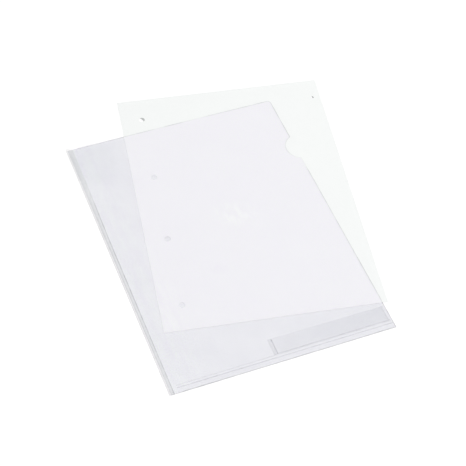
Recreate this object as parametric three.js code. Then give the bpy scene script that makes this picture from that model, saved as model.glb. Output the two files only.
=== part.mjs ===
import * as THREE from 'three';

// Clear document folder for A4 paper, with a sheet pulled partly out of it. Millimetres.
// It lies flat, front film up. +X points to its open side, +Y to its open top, +Z up.
// The origin is the centre of the folder's footprint, on the surface that it lies on.

// Folder outline, the same for both films
const FOLDER_WIDTH = 220;
const FOLDER_HEIGHT = 310;
const CORNER_RADIUS = 4;

// Thicknesses, and the free space kept between a film and the paper
const FILM = 0.2;
const PAPER = 0.1;
const CLEARANCE = 0.3;

// Fold on the left: how far it reaches in, and how far it springs up above the front film
const FOLD_WIDTH = 8;
const FOLD_BULGE = 2;

// Thumb notch in the front film's open side
const NOTCH_FROM_TOP = 72;
const NOTCH_OPENING = 31;
const NOTCH_DEPTH = 9.7;
const NOTCH_LIP_RADIUS = 1;

// Two weld lines along the bottom, measured from the bottom edge to their centres
const WELD_OUTER_HEIGHT = 5.8;
const WELD_INNER_HEIGHT = 8.6;
const WELD_LINE = 0.8;
const WELD_END_MARGIN = 1;

// Length over which the front film rises from the weld to its height above the paper
const RAMP_LENGTH = 4;

// Label pocket welded on the rear film's inner face
const LABEL_WIDTH = 115.5;
const LABEL_HEIGHT = 17.5;
const LABEL_EDGE_MARGIN = 1.5;
const LABEL_WELD = 0.1;
const LABEL_LEFT_WELD = 4;
const LABEL_RIGHT_WELD = 1.5;
const LABEL_BOTTOM_WELD = 0.8;
const LABEL_CORNER_RADIUS = 1;

// Line on which the front film's free part starts to lift, above the top of the ramp
const FLAP_MARGIN = 2;
const FLAP_GAP = 0.3;

// Punched sheet: where its lower right corner lies, and how far the sheet is turned
const SHEET_WIDTH = 210;
const SHEET_HEIGHT = 297;
const SHEET_TURN_DEG = -10;
const SHEET_OVERHANG = 5;
const SHEET_LIFT = 20;
const HOLE_DIAMETER = 6;
const HOLE_PITCH = 80;
const HOLE_COUNT = 4;
const HOLE_EDGE = 21.5;
const MARK_HOLE_DIAMETER = 3;
const MARK_HOLE_EDGE = 8.5;
const MARK_HOLE_FROM_TOP = 25;

// Facets on round outlines and on the fold
const ARC_STEPS = 16;
const NOSE_STEPS = 10;
const SLOPE_STEPS = 8;
const FOLD_STATIONS = 14;

const left = -FOLDER_WIDTH / 2;
const right = FOLDER_WIDTH / 2;
const bottom = -FOLDER_HEIGHT / 2;
const top = FOLDER_HEIGHT / 2;
const foldEdge = left + FOLD_WIDTH;

// Heights of the layers, from the underside up
const rearTop = FILM;
const labelUnder = rearTop + LABEL_WELD;
const labelTop = labelUnder + FILM;
const paperUnder = labelTop + CLEARANCE;
const frontUnder = paperUnder + PAPER + CLEARANCE;

// Where the fold's round meets the rear film: past the round at its tallest, at the open top
const noseEdge = left + (frontUnder + FILM + FOLD_BULGE) / 2 + FILM;

const weldInner = bottom + WELD_INNER_HEIGHT;
const rampStart = weldInner + WELD_LINE / 2;
const rampEnd = rampStart + RAMP_LENGTH;

const filmLook = { color: 0xe6e8ee, roughness: 0.18, metalness: 0, transparent: true, opacity: 0.4 };
const weldLook = { color: 0xc9ccd6, roughness: 0.3, metalness: 0, transparent: true, opacity: 0.6 };
const paperLook = { color: 0xfbfcfc, roughness: 0.85, metalness: 0 };

function piece(name, geometry, look) {
  const mesh = new THREE.Mesh(geometry, new THREE.MeshStandardMaterial(look));
  mesh.name = name;
  return mesh;
}

// Flat plate of a given thickness standing on height z
function plate(shape, z, thickness) {
  const geometry = new THREE.ExtrudeGeometry(shape, {
    depth: thickness,
    bevelEnabled: false,
    curveSegments: ARC_STEPS,
  });
  return geometry.translate(0, 0, z);
}

function polygon(points) {
  return new THREE.Shape(points.map(([x, y]) => new THREE.Vector2(x, y)));
}

// Rear film: a plain plate from the fold's round to the open side, its free corner rounded

function rearFilm() {
  const shape = new THREE.Shape();
  shape.moveTo(noseEdge, bottom);
  shape.lineTo(right, bottom);
  shape.lineTo(right, top - CORNER_RADIUS);
  shape.absarc(right - CORNER_RADIUS, top - CORNER_RADIUS, CORNER_RADIUS, 0, Math.PI / 2, false);
  shape.lineTo(noseEdge, top);
  return plate(shape, 0, FILM);
}

// Underside of the front film at a distance up the folder

function frontUnderAt(y) {
  const climb = THREE.MathUtils.clamp((y - rampStart) / RAMP_LENGTH, 0, 1);
  return THREE.MathUtils.lerp(labelTop, frontUnder, climb);
}

// Fold: a strip of film bent round from the rear film to the front film.
// It is pressed flat at the weld and springs open into a teardrop towards the top.
// Its section starts at the rear film, goes round the nose and runs down a slope to the front film.

const noseEnd = NOSE_STEPS + 1;
const slopeEnd = noseEnd + SLOPE_STEPS;

function foldMiddle(y) {
  const under = frontUnderAt(y);
  const rise = THREE.MathUtils.clamp((y - rampEnd) / (top - rampEnd), 0, 1);
  const height = under + FILM + FOLD_BULGE * Math.sin(rise * Math.PI / 2);
  const noseRadius = height / 2;
  const middleRadius = noseRadius - FILM / 2;
  const noseX = left + noseRadius;
  const line = [{ x: noseEdge, z: FILM / 2, nx: 0, nz: -1 }];
  for (let k = 0; k <= NOSE_STEPS; k += 1) {
    const angle = Math.PI * (k / NOSE_STEPS - 0.5);
    const nx = -Math.cos(angle);
    const nz = Math.sin(angle);
    line.push({ x: noseX + middleRadius * nx, z: noseRadius + middleRadius * nz, nx, nz });
  }
  const drop = height - FILM - under;
  const run = foldEdge - noseX;
  for (let k = 1; k <= SLOPE_STEPS; k += 1) {
    const u = k / SLOPE_STEPS;
    const z = height - FILM / 2 - drop * (1 - Math.cos(Math.PI * u)) / 2;
    const slope = -drop * Math.PI * Math.sin(Math.PI * u) / 2 / run;
    const length = Math.hypot(1, slope);
    line.push({ x: noseX + run * u, z, nx: -slope / length, nz: 1 / length });
  }
  return line;
}

// Stretch of the fold between two points of its section, swept through stations up the folder
function foldStretch(stations, from, to) {
  const positions = [];
  for (const y of stations) {
    for (const { x, z, nx, nz } of foldMiddle(y).slice(from, to + 1)) {
      positions.push(x + nx * FILM / 2, y, z + nz * FILM / 2);
      positions.push(x - nx * FILM / 2, y, z - nz * FILM / 2);
    }
  }
  const end = to - from;
  const last = stations.length - 1;
  const outer = (j, i) => 2 * (j * (end + 1) + i);
  const inner = (j, i) => outer(j, i) + 1;
  const triangles = [];
  const quad = (a, b, c, d) => triangles.push(a, b, c, a, c, d);
  for (let j = 0; j < last; j += 1) {
    for (let i = 0; i < end; i += 1) {
      quad(outer(j, i), outer(j, i + 1), outer(j + 1, i + 1), outer(j + 1, i));
      quad(inner(j, i), inner(j + 1, i), inner(j + 1, i + 1), inner(j, i + 1));
    }
    quad(outer(j, 0), outer(j + 1, 0), inner(j + 1, 0), inner(j, 0));
    quad(outer(j, end), inner(j, end), inner(j + 1, end), outer(j + 1, end));
  }
  for (let i = 0; i < end; i += 1) {
    quad(outer(0, i), inner(0, i), inner(0, i + 1), outer(0, i + 1));
    quad(outer(last, i), outer(last, i + 1), inner(last, i + 1), inner(last, i));
  }
  const geometry = new THREE.BufferGeometry();
  geometry.setAttribute('position', new THREE.Float32BufferAttribute(positions, 3));
  geometry.setIndex(triangles);
  geometry.computeVertexNormals();
  return geometry;
}

const pressedStations = [bottom, rampStart, rampEnd];
const openStations = [];
for (let k = 0; k <= FOLD_STATIONS; k += 1) {
  openStations.push(THREE.MathUtils.lerp(rampEnd, top, k / FOLD_STATIONS));
}

// Front film's pressed edge: flat on the weld, then rising to its height above the paper

function frontPressedEdge() {
  const profile = polygon([
    [bottom, labelTop],
    [rampStart, labelTop],
    [rampEnd, frontUnder],
    [rampEnd, frontUnder + FILM],
    [rampStart, labelTop + FILM],
    [bottom, labelTop + FILM],
  ]);
  const strip = new THREE.ExtrudeGeometry(profile, { depth: right - foldEdge, bevelEnabled: false });
  strip.applyMatrix4(new THREE.Matrix4().makeBasis(
    new THREE.Vector3(0, 1, 0),
    new THREE.Vector3(0, 0, 1),
    new THREE.Vector3(1, 0, 0),
  ));
  return strip.translate(foldEdge, 0, 0);
}

// The front film bends on a diagonal, from the top of the fold to the end of the weld.
// Below it the film is held by the fold and the weld. Above it the film is free to lift.

const bendTop = new THREE.Vector2(foldEdge, top);
const bendEnd = new THREE.Vector2(right, rampEnd + FLAP_MARGIN);
const bendAlong = bendEnd.clone().sub(bendTop).normalize();
const bendAcross = new THREE.Vector2(-bendAlong.y, bendAlong.x);

// Where the bend line, moved across, meets the fold, the open side and the open top

function bendAtX(x, offset) {
  const point = bendTop.clone().addScaledVector(bendAcross, offset);
  return [x, point.y + (x - point.x) * bendAlong.y / bendAlong.x];
}

function bendAtTop(offset) {
  const point = bendTop.clone().addScaledVector(bendAcross, offset);
  return [point.x + (top - point.y) * bendAlong.x / bendAlong.y, top];
}

function frontFilm() {
  const shape = polygon([
    [foldEdge, rampEnd],
    [right, rampEnd],
    bendAtX(right, -FLAP_GAP / 2),
    bendAtX(foldEdge, -FLAP_GAP / 2),
  ]);
  return plate(shape, frontUnder, FILM);
}

function frontFlap() {
  const notchY = top - NOTCH_FROM_TOP;
  const half = NOTCH_OPENING / 2;
  // The notch arc and the two lip arcs are tangent to each other and to the film's edge
  const reach = (half * half / NOTCH_DEPTH + NOTCH_DEPTH) / 2;
  const notchRadius = reach - NOTCH_LIP_RADIUS;
  const notchX = right - NOTCH_DEPTH + notchRadius;
  const lipX = right - NOTCH_LIP_RADIUS;
  const lipAngle = Math.atan2(half, notchX - lipX);
  const shape = new THREE.Shape();
  shape.moveTo(...bendAtTop(FLAP_GAP / 2));
  shape.lineTo(...bendAtX(right, FLAP_GAP / 2));
  shape.lineTo(right, notchY - half);
  shape.absarc(lipX, notchY - half, NOTCH_LIP_RADIUS, 0, lipAngle, false);
  shape.absarc(notchX, notchY, notchRadius, Math.PI + lipAngle, Math.PI - lipAngle, true);
  shape.absarc(lipX, notchY + half, NOTCH_LIP_RADIUS, -lipAngle, 0, false);
  shape.lineTo(right, top - CORNER_RADIUS);
  shape.absarc(right - CORNER_RADIUS, top - CORNER_RADIUS, CORNER_RADIUS, 0, Math.PI / 2, false);
  return plate(shape, frontUnder, FILM);
}

// Weld line: a thin bead with round ends that joins the two films

function weldLine(y) {
  const radius = WELD_LINE / 2;
  const start = foldEdge + WELD_END_MARGIN + radius;
  const end = right - WELD_END_MARGIN - radius;
  const shape = new THREE.Shape();
  shape.absarc(start, y, radius, Math.PI / 2, 3 * Math.PI / 2, false);
  shape.absarc(end, y, radius, -Math.PI / 2, Math.PI / 2, false);
  return plate(shape, rearTop, labelTop - rearTop);
}

// Label pocket: a strip of film on a weld that runs down both its ends and along its bottom

const labelRight = right - LABEL_EDGE_MARGIN;
const labelLeft = labelRight - LABEL_WIDTH;
const labelBottom = rampStart + CLEARANCE;
const labelHigh = labelBottom + LABEL_HEIGHT;

function labelWeld() {
  const shape = polygon([
    [labelLeft, labelBottom],
    [labelRight, labelBottom],
    [labelRight, labelHigh - LABEL_CORNER_RADIUS],
    [labelRight - LABEL_RIGHT_WELD, labelHigh - LABEL_CORNER_RADIUS],
    [labelRight - LABEL_RIGHT_WELD, labelBottom + LABEL_BOTTOM_WELD],
    [labelLeft + LABEL_LEFT_WELD, labelBottom + LABEL_BOTTOM_WELD],
    [labelLeft + LABEL_LEFT_WELD, labelHigh - LABEL_CORNER_RADIUS],
    [labelLeft, labelHigh - LABEL_CORNER_RADIUS],
  ]);
  return plate(shape, rearTop, LABEL_WELD);
}

function labelFilm() {
  const r = LABEL_CORNER_RADIUS;
  const shape = new THREE.Shape();
  shape.moveTo(labelLeft, labelBottom);
  shape.lineTo(labelRight, labelBottom);
  shape.lineTo(labelRight, labelHigh - r);
  shape.absarc(labelRight - r, labelHigh - r, r, 0, Math.PI / 2, false);
  shape.absarc(labelLeft + r, labelHigh - r, r, Math.PI / 2, Math.PI, false);
  return plate(shape, labelUnder, FILM);
}

// Punched sheet, drawn from its lower right corner

function round(x, y, diameter) {
  return new THREE.Path().absarc(x, y, diameter / 2, 0, 2 * Math.PI, true);
}

function paperSheet() {
  const shape = polygon([
    [-SHEET_WIDTH, 0],
    [0, 0],
    [0, SHEET_HEIGHT],
    [-SHEET_WIDTH, SHEET_HEIGHT],
  ]);
  const firstHole = (SHEET_HEIGHT - (HOLE_COUNT - 1) * HOLE_PITCH) / 2;
  for (let k = 0; k < HOLE_COUNT; k += 1) {
    shape.holes.push(round(HOLE_EDGE - SHEET_WIDTH, firstHole + k * HOLE_PITCH, HOLE_DIAMETER));
  }
  shape.holes.push(round(-MARK_HOLE_EDGE, SHEET_HEIGHT - MARK_HOLE_FROM_TOP, MARK_HOLE_DIAMETER));
  return plate(shape, 0, PAPER);
}

const folder = new THREE.Group();
folder.add(
  piece('rear_film', rearFilm(), filmLook),
  piece('spine_fold', foldStretch(openStations, 0, noseEnd), filmLook),
  piece('spine_slope', foldStretch(openStations, noseEnd, slopeEnd), filmLook),
  piece('spine_pressed', foldStretch(pressedStations, 0, slopeEnd), filmLook),
  piece('front_film', frontFilm(), filmLook),
  piece('front_pressed_edge', frontPressedEdge(), filmLook),
  piece('front_flap', frontFlap(), filmLook),
  piece('bottom_weld_inner', weldLine(weldInner), weldLook),
  piece('bottom_weld_outer', weldLine(bottom + WELD_OUTER_HEIGHT), weldLook),
  piece('label_pocket_film', labelFilm(), filmLook),
  piece('label_pocket_weld', labelWeld(), weldLook),
);

const sheet = new THREE.Group();
sheet.position.set(right + SHEET_OVERHANG, rampStart + SHEET_LIFT, paperUnder);
sheet.rotation.z = THREE.MathUtils.degToRad(SHEET_TURN_DEG);
sheet.add(piece('paper_sheet', paperSheet(), paperLook));
folder.add(sheet);

export default folder;
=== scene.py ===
import math

import bpy
from mathutils import Matrix, Vector, geometry, noise


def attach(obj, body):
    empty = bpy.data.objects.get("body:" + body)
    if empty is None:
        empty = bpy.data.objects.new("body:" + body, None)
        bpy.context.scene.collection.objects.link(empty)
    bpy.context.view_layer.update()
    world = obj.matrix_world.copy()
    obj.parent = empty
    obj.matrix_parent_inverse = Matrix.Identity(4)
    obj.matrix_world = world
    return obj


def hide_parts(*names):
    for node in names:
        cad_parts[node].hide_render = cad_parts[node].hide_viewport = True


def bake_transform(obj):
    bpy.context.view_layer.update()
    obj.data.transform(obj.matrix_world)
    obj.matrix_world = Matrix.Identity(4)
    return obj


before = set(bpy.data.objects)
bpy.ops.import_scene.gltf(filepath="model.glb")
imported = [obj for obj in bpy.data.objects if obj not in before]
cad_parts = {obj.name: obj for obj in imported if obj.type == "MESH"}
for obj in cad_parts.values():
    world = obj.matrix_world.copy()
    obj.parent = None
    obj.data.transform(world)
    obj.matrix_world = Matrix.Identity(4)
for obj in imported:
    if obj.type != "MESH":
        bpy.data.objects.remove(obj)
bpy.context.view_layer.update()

# Sizes in metres, as in the CAD frame: +X to the open side, +Y to the open top, +Z up
MM = 0.001
LEFT, RIGHT = -110 * MM, 110 * MM
BOTTOM, TOP = -155 * MM, 155 * MM
CORNER = 4 * MM
FILM = 0.2 * MM
REAR_Z = 0.1 * MM
LABEL_WELD_Z, LABEL_Z = 0.15 * MM, 0.2 * MM
SHEET_Z = 0.28 * MM
PRESSED_Z = 0.6 * MM
FRONT_Z = 0.7 * MM
RAMP_START, RAMP_END = -146 * MM, -142 * MM
NOSE_EDGE = -108.1 * MM
FOLD_END = -98 * MM
BULGE = 2.6 * MM
SPRING = 0.6 * MM
SKEW = 1.5 * MM
NOTCH_Y, NOTCH_HALF, NOTCH_DEPTH, LIP = 83 * MM, 15.5 * MM, 9.7 * MM, 1 * MM
LABEL_LEFT, LABEL_RIGHT = -7 * MM, 108.5 * MM
LABEL_BOTTOM, LABEL_TOP = -145.7 * MM, -128.2 * MM
LEFT_WELD_END, RIGHT_WELD_START = -3.0 * MM, 106 * MM
EDGE = 0.8 * MM
# The crease: how far in it lies, half its width, and how far it moves in low down and high up
CREASE_REACH, CREASE_HALF = 4.7 * MM, 0.4 * MM
CREASE_LOW, CREASE_HIGH = 0.5 * MM, 1.8 * MM
NOSE_STEPS, SLOPE_STEPS = 12, 8
# Heights of the front film's rolls and crinkles, the slope's sag and the crease's wander
ROLLS, CRINKLES, SAG, WANDER = 0.4 * MM, 0.05 * MM, 0.12 * MM, 0.25 * MM
# The CAD's sheet: its underside, its lower right corner in millimetres, and its turn
CAD_SHEET_Z = 0.8 * MM
SHEET_CORNER = Vector((115, -126))
SHEET_TURN = math.radians(-10)
# Painted hole shadows, dark crescents in the bare punched holes: their height above the sheet's
# underside, and half the angle that they take
HOLE_SHADOW_LIFT, HOLE_SHADOW_SPAN = 0.04 * MM, 1.7
FLOOR_SIZE, FLOOR_LEVEL = 6.0, -0.02 * MM
FILM_IOR = 1.49
WHITE = (1, 1, 1, 1)
# Numbers of the front film's materials, in the order in which its piece gets them
CLEAR, CUT, NOSE, CREASE, SLOPE, SHOULDER = range(6)


def smooth(a, b, t):
    """0 before a, 1 after b, and a smooth step between them."""
    t = min(max((t - a) / (b - a), 0.0), 1.0)
    return t * t * (3 - 2 * t)


def lerp(a, b, t):
    return a + (b - a) * t


# Camera, fitted to the folder's corners and edges in the photograph

def make_camera():
    data = bpy.data.cameras.new("camera")
    data.sensor_fit = "HORIZONTAL"
    data.sensor_width = 36.0
    data.lens = 112.096
    data.clip_start = 0.05
    data.clip_end = 60.0
    camera = bpy.data.objects.new("camera", data)
    right = Vector((0.93191586, -0.36119205, 0.03275845))
    down = Vector((-0.25798673, -0.72368803, -0.64009256))
    ahead = Vector((0.25490324, 0.58806117, -0.76759911))
    turn = Matrix((right, -down, -ahead)).transposed()
    place = (-0.344987, -0.81846, 1.068002)
    camera.matrix_world = Matrix.Translation(place) @ turn.to_4x4()
    bpy.context.collection.objects.link(camera)
    bpy.context.scene.camera = camera


# Node helpers

def fresh_material(name):
    material = bpy.data.materials.new(name)
    material.use_nodes = True
    material.node_tree.nodes.clear()
    return material, material.node_tree


def add(tree, kind, **settings):
    """A new node. Settings named in_X set the input socket X, and the others set the node."""
    node = tree.nodes.new(kind)
    for key, value in settings.items():
        if key.startswith("in_"):
            node.inputs[key[3:].replace("_", " ")].default_value = value
        else:
            setattr(node, key, value)
    return node


def math_node(tree, operation, a, b=None, clamp=False):
    node = tree.nodes.new("ShaderNodeMath")
    node.operation = operation
    node.use_clamp = clamp
    for socket, value in zip(node.inputs, (a, b)):
        if value is None:
            continue
        if isinstance(value, (int, float)):
            socket.default_value = value
        else:
            tree.links.new(value, socket)
    return node.outputs[0]


def remap(tree, value, low, high, out_low, out_high):
    node = add(tree, "ShaderNodeMapRange", interpolation_type="SMOOTHSTEP")
    tree.links.new(value, node.inputs["Value"])
    ends = {"From Min": low, "From Max": high, "To Min": out_low, "To Max": out_high}
    for name, number in ends.items():
        node.inputs[name].default_value = number
    return node.outputs["Result"]


def noise_value(tree, vector, scale, detail=2.0, stretch=(1, 1, 1), turn=0.0):
    mapping = add(tree, "ShaderNodeMapping")
    mapping.inputs["Scale"].default_value = stretch
    mapping.inputs["Rotation"].default_value = (0, 0, turn)
    tree.links.new(vector, mapping.inputs["Vector"])
    node = add(tree, "ShaderNodeTexNoise", in_Scale=scale, in_Detail=detail, in_Roughness=0.55)
    tree.links.new(mapping.outputs[0], node.inputs["Vector"])
    return node.outputs["Fac"]


def spot(tree, vector, centre, radii, turn):
    """1 in the middle of an ellipse of plan coordinates, falling to 0 at its border."""
    shift = add(tree, "ShaderNodeVectorMath", operation="SUBTRACT")
    tree.links.new(vector, shift.inputs[0])
    shift.inputs[1].default_value = (centre[0], centre[1], 0)
    spin = add(tree, "ShaderNodeVectorRotate", rotation_type="Z_AXIS")
    spin.inputs["Angle"].default_value = turn
    tree.links.new(shift.outputs[0], spin.inputs["Vector"])
    size = add(tree, "ShaderNodeVectorMath", operation="DIVIDE")
    tree.links.new(spin.outputs[0], size.inputs[0])
    size.inputs[1].default_value = (radii[0], radii[1], 1)
    length = add(tree, "ShaderNodeVectorMath", operation="LENGTH")
    tree.links.new(size.outputs[0], length.inputs[0])
    return remap(tree, length.outputs["Value"], 0.2, 1.0, 1.0, 0.0)


# Materials

def film_material(name, haze, colour, spots=(), crinkle=0.0):
    """Clear polypropylene film: a faint uneven haze that lets the ground show, under a gloss.
    Each spot (centre, radii, turn, clear, wispy) clears the haze by the share clear,
    or clouds it over where clear is negative, in wisps or evenly.
    Beside the fold the film is crinkled: bumped, and streaked denser and clearer as painted light
    and shade of the crinkles."""
    material, tree = fresh_material(name)
    plan = add(tree, "ShaderNodeUVMap", uv_map="plan").outputs[0]
    clouds = noise_value(tree, plan, 22, 3)
    grain = noise_value(tree, plan, 900, 2)
    density = math_node(tree, "MULTIPLY", remap(tree, clouds, 0.3, 0.7, 0.94, 1.06), haze)
    density = math_node(tree, "MULTIPLY", density, remap(tree, grain, 0.3, 0.7, 0.93, 1.07))
    height = clouds
    if crinkle:
        streaks = noise_value(tree, plan, 60, 3, (2.4, 0.45, 1), 0.12)
        apart = add(tree, "ShaderNodeSeparateXYZ")
        tree.links.new(plan, apart.inputs[0])
        near = remap(tree, apart.outputs["X"], 0.012, 0.055, 1.0, 0.0)
        streaks = remap(tree, streaks, 0.38, 0.66, -crinkle, crinkle)
        # Painted light and shade of the crinkles: the haze streaked denser and clearer beside the
        # fold
        lines = math_node(tree, "MULTIPLY", streaks, near)
        density = math_node(tree, "MULTIPLY", density, math_node(tree, "ADD", lines, 1.0))
        height = math_node(tree, "ADD", height, math_node(tree, "MULTIPLY", lines, 0.6))
    for centre, radii, turn, clear, wispy in spots:
        here = spot(tree, plan, centre, radii, turn)
        if wispy:
            wisps = noise_value(tree, plan, 110, 3, (1.7, 0.7, 1), 0.5)
            wisps = remap(tree, wisps, 0.42, 0.58, 0.0, 1.0)
            here = math_node(tree, "MULTIPLY", here, wisps)
        keep = math_node(tree, "SUBTRACT", 1.0, math_node(tree, "MULTIPLY", here, clear))
        density = math_node(tree, "MULTIPLY", density, keep)
    bump = add(tree, "ShaderNodeBump", in_Strength=0.25, in_Distance=0.004)
    tree.links.new(height, bump.inputs["Height"])
    body = add(tree, "ShaderNodeBsdfPrincipled", in_Roughness=0.3, in_IOR=FILM_IOR)
    body.inputs["Base Color"].default_value = (*colour, 1)
    tree.links.new(density, body.inputs["Alpha"])
    tree.links.new(bump.outputs[0], body.inputs["Normal"])
    gloss = add(tree, "ShaderNodeBsdfGlossy", in_Roughness=0.16)
    gloss.inputs["Color"].default_value = WHITE
    tree.links.new(bump.outputs[0], gloss.inputs["Normal"])
    facing = add(tree, "ShaderNodeLayerWeight", in_Blend=0.5).outputs["Facing"]
    shine = math_node(tree, "MULTIPLY", math_node(tree, "POWER", facing, 5.0), 0.5)
    mix = add(tree, "ShaderNodeMixShader")
    tree.links.new(math_node(tree, "ADD", shine, 0.04), mix.inputs[0])
    tree.links.new(body.outputs[0], mix.inputs[1])
    tree.links.new(gloss.outputs[0], mix.inputs[2])
    out = add(tree, "ShaderNodeOutputMaterial")
    tree.links.new(mix.outputs[0], out.inputs["Surface"])
    return material


def line_material(name, density, colour, variation=0.25, fades=(), scale=140):
    """Cut edge, crease or pressed line of the film, drawn denser and darker: at cut edges and at
    the fold this is painted shade, because light runs out of the film there.
    Each fade (start, end, rest) leaves the share rest of the density beyond its end."""
    material, tree = fresh_material(name)
    place = add(tree, "ShaderNodeTexCoord").outputs["Object"]
    uneven = noise_value(tree, place, scale, 2)
    alpha = remap(tree, uneven, 0.3, 0.7, density * (1 - variation), density * (1 + variation))
    if fades:
        plan = add(tree, "ShaderNodeUVMap", uv_map="plan").outputs[0]
        apart = add(tree, "ShaderNodeSeparateXYZ")
        tree.links.new(plan, apart.inputs[0])
        for start, end, rest in fades:
            share = remap(tree, apart.outputs["Y"], min(start, end), max(start, end),
                          *((1.0, rest) if start < end else (rest, 1.0)))
            alpha = math_node(tree, "MULTIPLY", alpha, share)
    body = add(tree, "ShaderNodeBsdfPrincipled", in_Roughness=0.28, in_IOR=FILM_IOR)
    body.inputs["Base Color"].default_value = (*colour, 1)
    tree.links.new(alpha, body.inputs["Alpha"])
    out = add(tree, "ShaderNodeOutputMaterial")
    tree.links.new(body.outputs[0], out.inputs["Surface"])
    return material


def paper_material(dark, light, name="copy_paper"):
    """Copy paper: near white and matt, with fibre clouds and a fine tooth."""
    material, tree = fresh_material(name)
    place = add(tree, "ShaderNodeTexCoord").outputs["Object"]
    clouds = noise_value(tree, place, 350, 4)
    tooth = noise_value(tree, place, 2600, 2)
    ramp = add(tree, "ShaderNodeValToRGB")
    ramp.color_ramp.elements[0].color = (*dark, 1)
    ramp.color_ramp.elements[1].color = (*light, 1)
    tree.links.new(clouds, ramp.inputs[0])
    bump = add(tree, "ShaderNodeBump", in_Strength=0.2, in_Distance=0.00005)
    tree.links.new(tooth, bump.inputs["Height"])
    body = add(tree, "ShaderNodeBsdfPrincipled", in_Roughness=0.85)
    body.inputs["Specular IOR Level"].default_value = 0.2
    body.inputs["Subsurface Weight"].default_value = 0.15
    body.inputs["Subsurface Radius"].default_value = (0.0004, 0.0004, 0.0004)
    body.inputs["Subsurface Scale"].default_value = 1.0
    tree.links.new(ramp.outputs[0], body.inputs["Base Color"])
    tree.links.new(bump.outputs[0], body.inputs["Normal"])
    out = add(tree, "ShaderNodeOutputMaterial")
    tree.links.new(body.outputs[0], out.inputs["Surface"])
    return material


# Outlines in plan, counter-clockwise

def arc(cx, cy, radius, start, end, steps):
    return [(cx + radius * math.cos(lerp(start, end, k / steps)),
             cy + radius * math.sin(lerp(start, end, k / steps))) for k in range(steps + 1)]


def spaced(a, b, step):
    """Points from a up to but without b, about a step apart."""
    count = max(1, round(math.dist(a, b) / step))
    return [(lerp(a[0], b[0], k / count), lerp(a[1], b[1], k / count)) for k in range(count)]


def spread(corners, step):
    points = []
    for a, b in zip(corners, corners[1:] + corners[:1]):
        points += spaced(a, b, step)
    return points


def notch_points():
    """The thumb notch from its lower to its upper lip, tangent to the film's edge."""
    reach = (NOTCH_HALF ** 2 / NOTCH_DEPTH + NOTCH_DEPTH) / 2
    radius = reach - LIP
    centre = RIGHT - NOTCH_DEPTH + radius
    lip = math.atan2(NOTCH_HALF, centre - (RIGHT - LIP))
    low = arc(RIGHT - LIP, NOTCH_Y - NOTCH_HALF, LIP, 0, lip, 6)
    deep = arc(centre, NOTCH_Y, radius, math.pi + lip, math.pi - lip, 28)
    high = arc(RIGHT - LIP, NOTCH_Y + NOTCH_HALF, LIP, -lip, 0, 6)
    return low + deep[1:-1] + high


def film_outline(left, notch, step=2.5 * MM):
    corners = [(left, BOTTOM), (RIGHT, BOTTOM)]
    if notch:
        corners += notch_points()
    corners += arc(RIGHT - CORNER, TOP - CORNER, CORNER, 0, math.pi / 2, 8)
    corners += [(left, TOP)]
    if notch:
        # The fold isn't quite square, so the front film's top edge falls short towards the right
        notch_top = NOTCH_Y + NOTCH_HALF
        corners = [(x, y - SKEW * (x - left) / (RIGHT - left) * smooth(notch_top, TOP - CORNER, y))
                   for x, y in corners]
    return spread(corners, step)


# Meshes

def inset(points, distance):
    """The outline moved inwards by a distance."""
    moved = []
    count = len(points)
    for k, point in enumerate(points):
        before = Vector(points[k - 1])
        here = Vector(point)
        after = Vector(points[(k + 1) % count])
        a = (here - before).normalized()
        b = (after - here).normalized()
        na, nb = Vector((-a.y, a.x)), Vector((-b.y, b.x))
        middle = (na + nb).normalized()
        moved.append(tuple(here + middle * distance / max(0.4, middle.dot(na))))
    return moved


def inside(point, outline):
    x, y = point
    found = False
    for (xa, ya), (xb, yb) in zip(outline, outline[1:] + outline[:1]):
        if (ya > y) != (yb > y) and x < (xb - xa) * (y - ya) / (yb - ya) + xa:
            found = not found
    return found


def sheet_faces(outline, border, step):
    """Triangles that fill an outline, with a border strip of its own along it.
    Returns the points and the faces, each face with 1 where it is in the border, or else 0."""
    rim = inset(outline, border)
    xs, ys = [p[0] for p in outline], [p[1] for p in outline]
    core = inset(outline, border + step * 0.45)
    grid = []
    rows = int((max(ys) - min(ys)) / step) + 1
    columns = int((max(xs) - min(xs)) / step) + 1
    for j in range(rows):
        for i in range(columns):
            point = (min(xs) + (i + 0.5 * (j % 2)) * step, min(ys) + j * step)
            if inside(point, core):
                grid.append(point)
    count = len(outline)
    edges = [(k, (k + 1) % count) for k in range(count)]
    edges += [(count + a, count + b) for a, b in edges]
    points = [Vector(p) for p in outline + rim + grid]
    found = geometry.delaunay_2d_cdt(points, edges, [], 1, 1e-7)
    faces = []
    for face in found[2]:
        middle = sum((found[0][k] for k in face), Vector((0, 0))) / 3
        faces.append((face, 0 if inside(middle, rim) else 1))
    return [tuple(p) for p in found[0]], faces


def make_object(name, points, faces, uvs, materials):
    """An object from 3-D points, faces with their material's number, and plan coordinates."""
    mesh = bpy.data.meshes.new(name)
    mesh.from_pydata(points, [], [list(face) for face, _ in faces])
    for material in materials:
        mesh.materials.append(material)
    layer = mesh.uv_layers.new(name="plan")
    for polygon, (_, number) in zip(mesh.polygons, faces):
        polygon.material_index = number
        polygon.use_smooth = True
        for loop in polygon.loop_indices:
            layer.data[loop].uv = uvs[mesh.loops[loop].vertex_index]
    obj = bpy.data.objects.new(name, mesh)
    bpy.context.collection.objects.link(obj)
    return obj


def plan_uv(x, y):
    return (x - LEFT, y - BOTTOM)


# Shape of the front film

def rise(y):
    return min(max((y - RAMP_END) / (TOP - RAMP_END), 0.0), 1.0)


def lying_height(y):
    """Height of the front film's middle where it lies flat."""
    return lerp(PRESSED_Z, FRONT_Z, smooth(RAMP_START, RAMP_END, y))


def front_base(x, y):
    """The same with the spring of the fold, which lifts the film beside it at the open top."""
    near = 1 - smooth(LEFT + 15 * MM, LEFT + 75 * MM, x)
    return lying_height(y) + SPRING * near * smooth(0.4, 1.0, rise(y))


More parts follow.
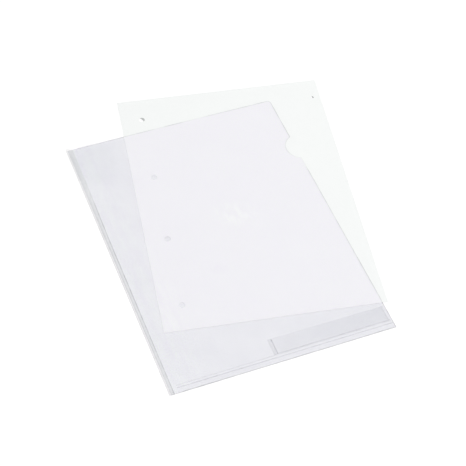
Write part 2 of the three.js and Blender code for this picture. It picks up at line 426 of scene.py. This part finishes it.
def front_wave(x, y):
    """How far the film stands above its flat state: slack rolls and small crinkles at the fold."""
    rolls = 0.5 + 0.5 * noise.noise(Vector((x * 9, y * 6, 3.1)))
    rolls += 0.35 * noise.noise(Vector((x * 24 + y * 8, y * 14, 7.7)))
    small = noise.noise(Vector((x * 150, y * 45, 1.3)))
    small += 0.6 * noise.noise(Vector((x * 90, y * 160, 5.9)))
    at_fold = 1 - smooth(LEFT + 20 * MM, LEFT + 60 * MM, x)
    lift = ROLLS * max(rolls, 0) + CRINKLES * (small + 1) * (0.15 + at_fold)
    free = smooth(FOLD_END, FOLD_END + 12 * MM, x) * smooth(RAMP_END, RAMP_END + 30 * MM, y)
    return lift * free


def front_height(x, y):
    return front_base(x, y) + front_wave(x, y)


def crease_x(y):
    """Where the fold's slope meets the flat front film, further in towards the open top."""
    wander = WANDER * noise.noise(Vector((0, y * 30, 9.3)))
    spring = CREASE_LOW * smooth(0.0, 0.6, rise(y)) + CREASE_HIGH * smooth(0.5, 1.0, rise(y))
    return LEFT + CREASE_REACH + spring + wander * rise(y)


def fold_section(y):
    """The fold's middle line from the rear film to the flat front film, as (x, z, part) points.
    Part is the material's number of the face that ends at the point."""
    base = front_base(FOLD_END, y)
    height = lying_height(y) + FILM / 2 + BULGE * math.sin(rise(y) * math.pi / 2)
    nose = height / 2
    radius = nose - FILM / 2
    centre = LEFT + nose
    points = [(NOSE_EDGE, REAR_Z, CLEAR)]
    for k in range(NOSE_STEPS + 1):
        angle = math.pi * (k / NOSE_STEPS - 0.5)
        part = CLEAR if k < 2 else NOSE if k < 8 else SHOULDER
        points.append((centre - radius * math.cos(angle), nose + radius * math.sin(angle), part))
    end = crease_x(y) - CREASE_HALF
    top = height - FILM / 2
    for k in range(1, SLOPE_STEPS + 1):
        u = k / SLOPE_STEPS
        sag = SAG * noise.noise(Vector((u * 2, y * 60, 4.4))) * math.sin(math.pi * u) * rise(y)
        fall = (1 - math.cos(math.pi * u)) / 2
        part = SHOULDER if k <= SLOPE_STEPS / 2 else SLOPE
        points.append((lerp(centre, end, u), lerp(top, base, fall) + sag, part))
    points.append((end + 2 * CREASE_HALF, base, CREASE))
    points.append((FOLD_END, base, CLEAR))
    return points


def front_piece(materials):
    outline = film_outline(FOLD_END, notch=True)
    flat, faces = sheet_faces(outline, EDGE, 4 * MM)
    points = [(x, y, front_height(x, y)) for x, y in flat]
    uvs = [plan_uv(x, y) for x, y in flat]
    kept = []
    for face, number in faces:
        x = sum(flat[k][0] for k in face) / 3
        y = sum(flat[k][1] for k in face) / 3
        at_cut = x > FOLD_END + EDGE or y < BOTTOM + EDGE or y > TOP - EDGE
        kept.append((face, CUT if number and at_cut else CLEAR))
    seam = {round(y / MM, 3): k for k, (x, y) in enumerate(flat) if abs(x - FOLD_END) < 1e-7}
    stations = sorted(seam)
    previous = None
    for station in stations:
        y = station * MM
        section = fold_section(y)
        ring = []
        for k, (x, z, _) in enumerate(section[:-1]):
            ring.append(len(points))
            points.append((x, y, z))
            across = max(x - LEFT, 0.0) if k > NOSE_STEPS + 1 else 0.5 * MM * k
            uvs.append((across, y - BOTTOM))
        ring.append(seam[station])
        if previous:
            for k in range(len(section) - 1):
                quad = (previous[k], previous[k + 1], ring[k + 1], ring[k])
                kept.append((quad, section[k + 1][2]))
        previous = ring
    return make_object("front_film_piece", points, kept, uvs, materials)


def rear_piece(materials):
    outline = film_outline(NOSE_EDGE, notch=False)
    flat, faces = sheet_faces(outline, EDGE, 8 * MM)
    points = [(x, y, REAR_Z) for x, y in flat]
    kept = []
    for face, number in faces:
        x = sum(flat[k][0] for k in face) / 3
        kept.append((face, number if x > NOSE_EDGE + EDGE else 0))
    uvs = [plan_uv(x, y) for x, y in flat]
    return make_object("rear_film_piece", points, kept, uvs, materials)


def flat_piece(name, corners, z, border, step, materials, pick=None):
    """A flat piece. pick(x, y) gives the material's number of a border face."""
    outline = spread(corners, step)
    flat, faces = sheet_faces(outline, border, step)
    if pick:
        picked = []
        for face, number in faces:
            middle = sum((Vector(flat[k]) for k in face), Vector((0, 0))) / len(face)
            picked.append((face, pick(*middle) if number else 0))
        faces = picked
    points = [(x, y, z) for x, y in flat]
    uvs = [plan_uv(x, y) for x, y in flat]
    return make_object(name, points, faces, uvs, materials)


def label_box(left, right):
    """The label strip's outline between two places across the folder."""
    return [(left, LABEL_BOTTOM), (right, LABEL_BOTTOM), (right, LABEL_TOP), (left, LABEL_TOP)]


def hole_shadow_piece(name, centre, radius, width, middle, span, material):
    """A painted shadow in a punched hole: a dark crescent along part of its rim."""
    steps = 12
    rim = arc(*centre, radius, middle - span, middle + span, steps)
    lip = []
    for k, (x, y) in enumerate(rim):
        pull = width * math.sin(math.pi * k / steps) / radius
        lip.append((lerp(x, centre[0], pull), lerp(y, centre[1], pull)))
    points = [(x, y, SHEET_Z + HOLE_SHADOW_LIFT) for x, y in rim + lip]
    faces = [((k, k + 1, steps + 2 + k, steps + 1 + k), 0) for k in range(steps)]
    return make_object(name, points, faces, [plan_uv(x, y) for x, y, _ in points], [material])


# Room

def seen_rays(tree):
    """1 for rays that show a surface to the camera, straight, mirrored or through the film."""
    path = add(tree, "ShaderNodeLightPath")
    seen = math_node(tree, "ADD", path.outputs["Is Camera Ray"], path.outputs["Is Glossy Ray"])
    return math_node(tree, "ADD", seen, path.outputs["Is Transmission Ray"], clamp=True)


def make_floor():
    mesh = bpy.data.meshes.new("floor")
    signs = ((-1, -1), (1, -1), (1, 1), (-1, 1))
    corners = [(i * FLOOR_SIZE, j * FLOOR_SIZE, FLOOR_LEVEL) for i, j in signs]
    mesh.from_pydata(corners, [], [(0, 1, 2, 3)])
    floor = bpy.data.objects.new("floor", mesh)
    bpy.context.collection.objects.link(floor)
    material, tree = fresh_material("floor_white")
    seen = seen_rays(tree)
    glow = add(tree, "ShaderNodeEmission")
    glow.inputs["Color"].default_value = WHITE
    tree.links.new(math_node(tree, "MULTIPLY", seen, 0.7), glow.inputs["Strength"])
    matt = add(tree, "ShaderNodeBsdfDiffuse")
    matt.inputs["Color"].default_value = (0.35, 0.35, 0.35, 1)
    both = add(tree, "ShaderNodeAddShader")
    tree.links.new(matt.outputs[0], both.inputs[0])
    tree.links.new(glow.outputs[0], both.inputs[1])
    out = add(tree, "ShaderNodeOutputMaterial")
    tree.links.new(both.outputs[0], out.inputs["Surface"])
    mesh.materials.append(material)


def make_world():
    world = bpy.data.worlds.new("studio")
    world.use_nodes = True
    tree = world.node_tree
    tree.nodes.clear()
    seen = seen_rays(tree)
    strength = remap(tree, seen, 0.0, 1.0, 0.95, 1.0)
    background = add(tree, "ShaderNodeBackground")
    background.inputs["Color"].default_value = WHITE
    tree.links.new(strength, background.inputs["Strength"])
    out = add(tree, "ShaderNodeOutputWorld")
    tree.links.new(background.outputs[0], out.inputs["Surface"])
    bpy.context.scene.world = world


def softbox(name, place, aim, size, watts):
    data = bpy.data.lights.new(name, "AREA")
    data.shape = "RECTANGLE"
    data.size, data.size_y = size
    data.energy = watts
    lamp = bpy.data.objects.new(name, data)
    lamp.location = place
    lamp.rotation_euler = (Vector(aim) - Vector(place)).to_track_quat("-Z", "Y").to_euler()
    bpy.context.collection.objects.link(lamp)


make_camera()
make_floor()
make_world()
softbox("key", place=(1.5, -0.2, 1.5), aim=(0.0, 0.0, 0.0), size=(1.0, 0.8), watts=7)
bpy.context.scene.view_settings.view_transform = "Standard"

FRONT_COLOUR = (0.62, 0.3, 0.95)
# Greyer colour of the rear film, also taken by the label: painted shadow of the table under the
# folder
REAR_SHADED_COLOUR = (0.335, 0.41, 0.465)
LINE_COLOUR = (0.17, 0.17, 0.22)
# Painted shade of the fold: its nose, shoulder, slope and crease are drawn as darker, denser film
# where it curves and stands steep
NOSE_SHADE_COLOUR = (0.25, 0.25, 0.265)
SHOULDER_SHADE_COLOUR = (0.275, 0.25, 0.29)
SLOPE_SHADE_COLOUR = (0.3, 0.25, 0.32)
# Spots of the films: centre, radii, turn, clear, wispy. The front film's first spot is a painted
# reflection, a cleared bright smudge
FRONT_SPOTS = [
    ((0.1295, 0.1767), (0.03, 0.02), 0.3, 0.65, True),
    ((0.0905, 0.1179), (0.012, 0.009), 0.3, -0.4, True),
]
LABEL_SPOTS = [
    ((0.205, 0.022), (0.075, 0.03), 0.0, -0.7, False),
    ((0.218, 0.018), (0.0035, 0.02), 0.0, 0.8, False),
]
REAR_SPOTS = [((0.014, 0.29), (0.06, 0.05), 0.0, -0.22, False)]
# Fades of the fold's painted shade lines up the folder: start, end, rest
SHOULDER_SHADE_FADES = [(0.18, 0.26, 0.8)]
CREASE_SHADE_FADES = [(0.2, 0.28, 0.2), (0.09, 0.04, 0.75), (0.02, 0.008, 1.5)]

front_film = film_material("front_film_clear", 0.042, FRONT_COLOUR, FRONT_SPOTS, 0.4)
# Painted shadow: the rear film's haze is far denser and greyer than the front's, standing for the
# table's shade under it
rear_film = film_material("rear_film_painted_shade", 0.235, REAR_SHADED_COLOUR, REAR_SPOTS)
# Painted shade: the films' cut edges drawn as darker, denser strips
cut_edge_shade = line_material("film_cut_edge_painted_shade", 0.16, LINE_COLOUR, 0.6, scale=50)
rear_edge_shade = line_material("rear_film_cut_edge_painted_shade", 0.34, LINE_COLOUR)
# Painted shade: the fold's nose, shoulder, slope and crease drawn as darker, denser film
nose_shade = line_material("fold_nose_painted_shade", 0.135, NOSE_SHADE_COLOUR, 0.12)
shoulder_shade = line_material("fold_shoulder_painted_shade", 0.205, SHOULDER_SHADE_COLOUR, 0.12, SHOULDER_SHADE_FADES)
slope_shade = line_material("fold_slope_painted_shade", 0.13, SLOPE_SHADE_COLOUR, 0.12)
crease = line_material("fold_crease_painted_shade", 0.3, LINE_COLOUR, 0.3, CREASE_SHADE_FADES)
label_clear = film_material("label_film_clear", 0.07, REAR_SHADED_COLOUR, LABEL_SPOTS)
label_edge = line_material("label_film_edge", 0.06, LINE_COLOUR)
label_strong = line_material("label_film_pressed_edge", 0.22, LINE_COLOUR)
label_weld_look = line_material("label_weld", 0.025, LINE_COLOUR)
label_weld_edge = line_material("label_weld_edge", 0.3, LINE_COLOUR)
label_end_look = line_material("label_end_weld", 0.006, LINE_COLOUR)
label_end_line = line_material("label_end_weld_line", 0.2, LINE_COLOUR)
weld_inner_look = line_material("weld_inner", 0.035, LINE_COLOUR)
weld_outer_look = line_material("weld_outer", 0.07, LINE_COLOUR)

front = front_piece([front_film, cut_edge_shade, nose_shade, crease, slope_shade, shoulder_shade])
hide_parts("front_film", "front_flap", "front_pressed_edge",
            "spine_fold", "spine_slope", "spine_pressed")
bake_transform(front)

rear = rear_piece([rear_film, rear_edge_shade])
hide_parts("rear_film")
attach(rear, "folder")

label = flat_piece(
    "label_pocket_piece", label_box(LABEL_LEFT, LABEL_RIGHT),
    LABEL_Z, EDGE, 5 * MM, [label_clear, label_edge, label_strong],
    pick=lambda x, y: 2 if y < LABEL_BOTTOM + EDGE else 0 if x > LABEL_RIGHT - EDGE else 1)
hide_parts("label_pocket_film")
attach(label, "folder")

label_weld = flat_piece(
    "label_weld_piece", label_box(LABEL_LEFT, LEFT_WELD_END),
    LABEL_WELD_Z, EDGE, 2 * MM, [label_weld_look, label_edge, label_weld_edge],
    pick=lambda x, y: 2 if x > LEFT_WELD_END - EDGE else 1 if x < LABEL_LEFT + EDGE else 0)
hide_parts("label_pocket_weld")
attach(label_weld, "folder")

label_end_weld = flat_piece(
    "label_end_weld_piece", label_box(RIGHT_WELD_START, LABEL_RIGHT),
    LABEL_WELD_Z, EDGE, 2 * MM, [label_end_look, label_end_line],
    pick=lambda x, y: 1 if x < RIGHT_WELD_START + EDGE else 0)
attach(label_end_weld, "folder")

for node, look in (("bottom_weld_inner", weld_inner_look), ("bottom_weld_outer", weld_outer_look)):
    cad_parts[node].data.materials.clear()
    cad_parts[node].data.materials.append(look)

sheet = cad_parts["paper_sheet"]
paper = bpy.data.objects.new("paper_piece", sheet.data.copy())
bpy.context.collection.objects.link(paper)
for vertex in paper.data.vertices:
    vertex.co = sheet.matrix_world @ vertex.co + Vector((0, 0, SHEET_Z - CAD_SHEET_Z))
paper.data.materials.clear()
paper.data.materials.append(paper_material((0.9, 0.92, 0.91), (0.925, 0.942, 0.933)))
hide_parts("paper_sheet")
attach(paper, "sheet")
# Painted shadow: the dark paper looks of the crescents in the bare punched holes
hole_shadow_look = paper_material((0.46, 0.47, 0.465), (0.54, 0.55, 0.545), "painted_hole_shadow")
hole_shadow_dark_look = paper_material((0.3, 0.31, 0.305), (0.38, 0.39, 0.385), "painted_hole_shadow_dark")
turn = Matrix.Rotation(SHEET_TURN, 2)
# Painted hole shadows: name, centre from the sheet's corner, hole radius and crescent width in
# millimetres, direction
HOLE_SHADOWS = (
    ("painted_hole_shadow_1", (-188.5, 268.5), 3.0, 3.1, 0.4, hole_shadow_look),
    ("painted_hole_shadow_2", (-8.5, 272.0), 1.5, 1.9, 0.1, hole_shadow_dark_look),
)
for name, place, radius, width, middle, look in HOLE_SHADOWS:
    centre = (SHEET_CORNER + turn @ Vector(place)) * MM
    hole_shadow = hole_shadow_piece(name, centre, radius * MM, width * MM, middle, HOLE_SHADOW_SPAN, look)
    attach(hole_shadow, "sheet")
